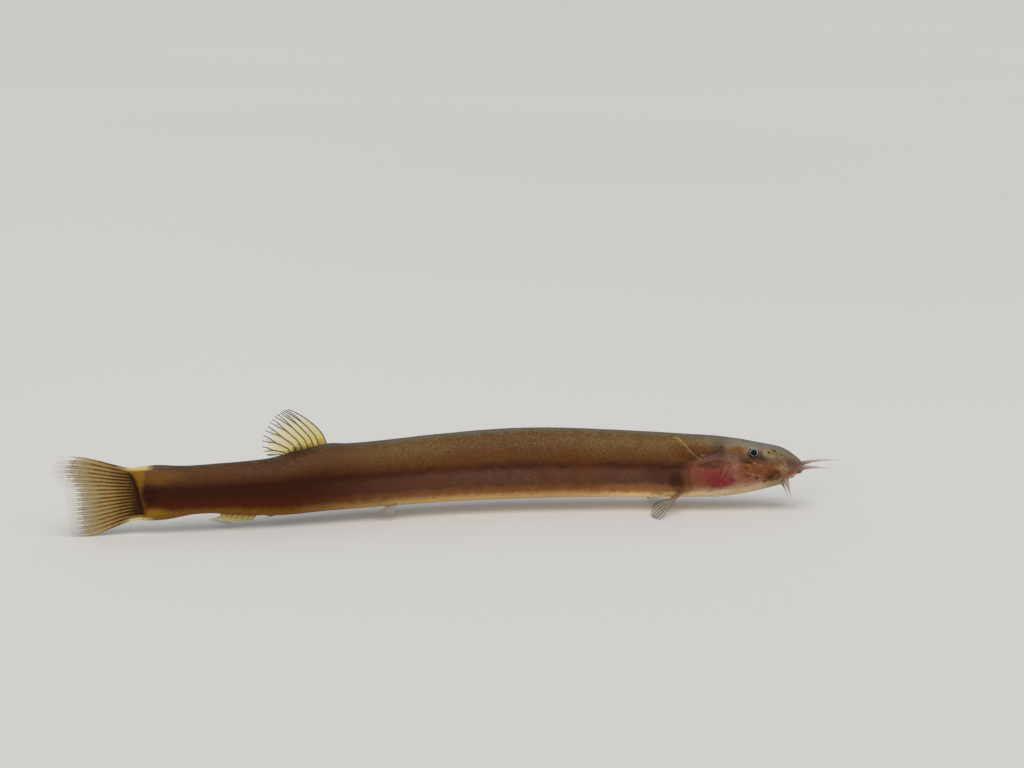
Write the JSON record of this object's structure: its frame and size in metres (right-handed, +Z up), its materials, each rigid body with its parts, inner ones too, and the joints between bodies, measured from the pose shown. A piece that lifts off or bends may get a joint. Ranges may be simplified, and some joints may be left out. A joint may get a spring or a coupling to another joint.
{
  "type": "java loach",
  "caption": "Life-size still model of a slender brown loach resting on the bottom, propped on its pectoral fins and tail fin, with barbels at its mouth.",
  "frame": {"origin": "middle of the box around the whole fish, on the floor that it rests on", "axes": "+X the way the head points, +Z up, +Y to the fish's left"},
  "size_m": [0.077, 0.0196, 0.0115],
  "materials": {
    "body_skin": "wet skin",
    "head_skin": "wet skin",
    "tail_fin": "thin wet fin",
    "yellow_fin": "thin wet fin",
    "barbel": "wet skin",
    "eye": "polished"
  },
  "bodies": {
    "root": {"head": "head_skin", "trunk_front": "body_skin", "trunk_middle": "body_skin", "trunk_rear": "body_skin", "caudal_peduncle": "body_skin", "caudal_fin": "tail_fin", "dorsal_fin": "yellow_fin", "anal_fin": "yellow_fin", "pectoral_fin_left": "yellow_fin", "pectoral_fin_right": "yellow_fin", "pelvic_fin_left": "yellow_fin", "pelvic_fin_right": "yellow_fin", "eye_left": "eye", "eye_right": "eye", "rostral_barbel_left": "barbel", "rostral_barbel_right": "barbel", "maxillary_barbel_left": "barbel", "maxillary_barbel_right": "barbel", "mandibular_barbel_left": "barbel", "mandibular_barbel_right": "barbel"}
  },
  "joints": []
}
